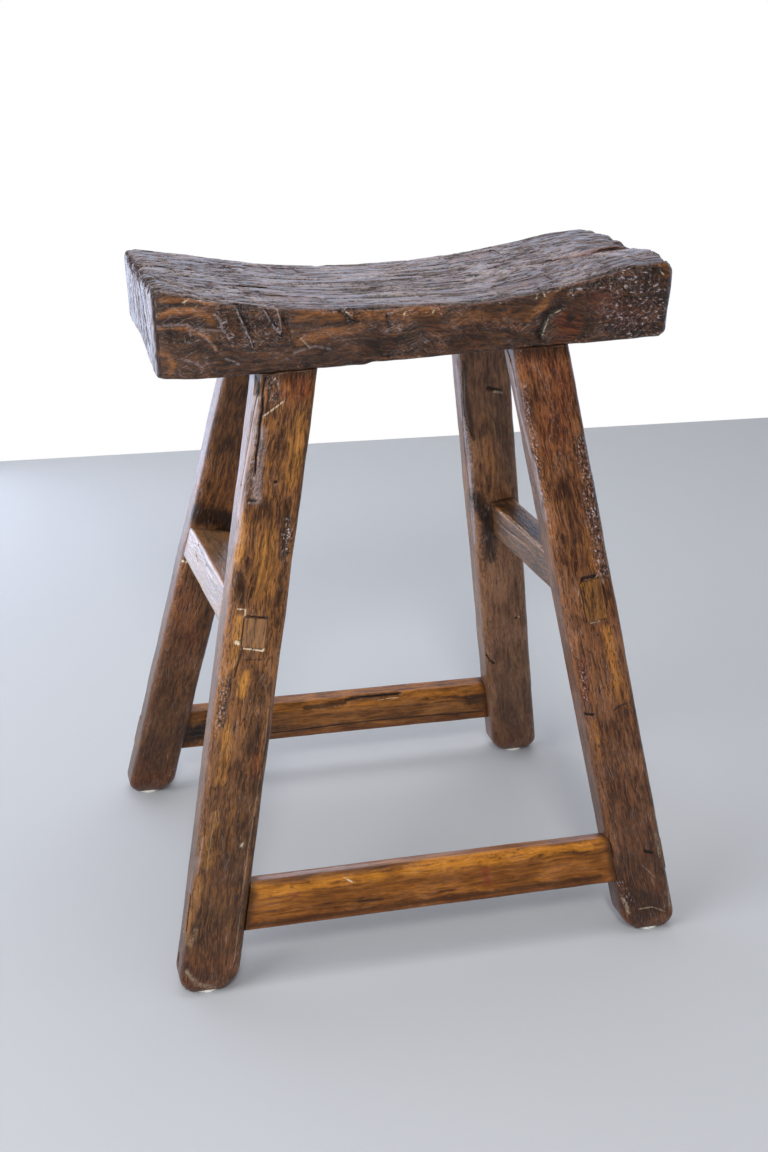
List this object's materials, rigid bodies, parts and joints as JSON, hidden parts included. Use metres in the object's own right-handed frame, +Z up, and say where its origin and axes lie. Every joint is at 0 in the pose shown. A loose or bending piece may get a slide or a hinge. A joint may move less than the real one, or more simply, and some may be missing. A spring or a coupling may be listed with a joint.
{
  "type": "saddle stool",
  "caption": "Rustic wooden stool: a thick dished plank seat on splayed, through-tenoned legs, tied by low long stretchers and higher short ones.",
  "frame": {"origin": "on the floor under the middle of the stool's bounding box", "axes": "+X to the sitter's right along the seat plank, +Y to the stool's back, +Z up"},
  "size_m": [0.4211, 0.3647, 0.5451],
  "materials": {
    "seat_elm": "weathered dark elm, waxed, with raised grain",
    "leg_elm": "dark brown lacquered elm, worn amber on the arrises",
    "stretcher_elm": "brown lacquered elm, worn on the top arrises",
    "wedge_wood": "dark oiled hardwood",
    "pad_plastic": "matte white"
  },
  "bodies": {
    "root": {"seat": "seat_elm", "leg_front_left": "leg_elm", "leg_front_right": "leg_elm", "leg_back_left": "leg_elm", "leg_back_right": "leg_elm", "wedge_front_left": "wedge_wood", "wedge_front_right": "wedge_wood", "wedge_back_left": "wedge_wood", "wedge_back_right": "wedge_wood", "foot_pad_front_left": "pad_plastic", "foot_pad_front_right": "pad_plastic", "foot_pad_back_left": "pad_plastic", "foot_pad_back_right": "pad_plastic", "stretcher_front": "stretcher_elm", "stretcher_back": "stretcher_elm", "stretcher_left": "stretcher_elm", "stretcher_right": "stretcher_elm"}
  },
  "joints": []
}
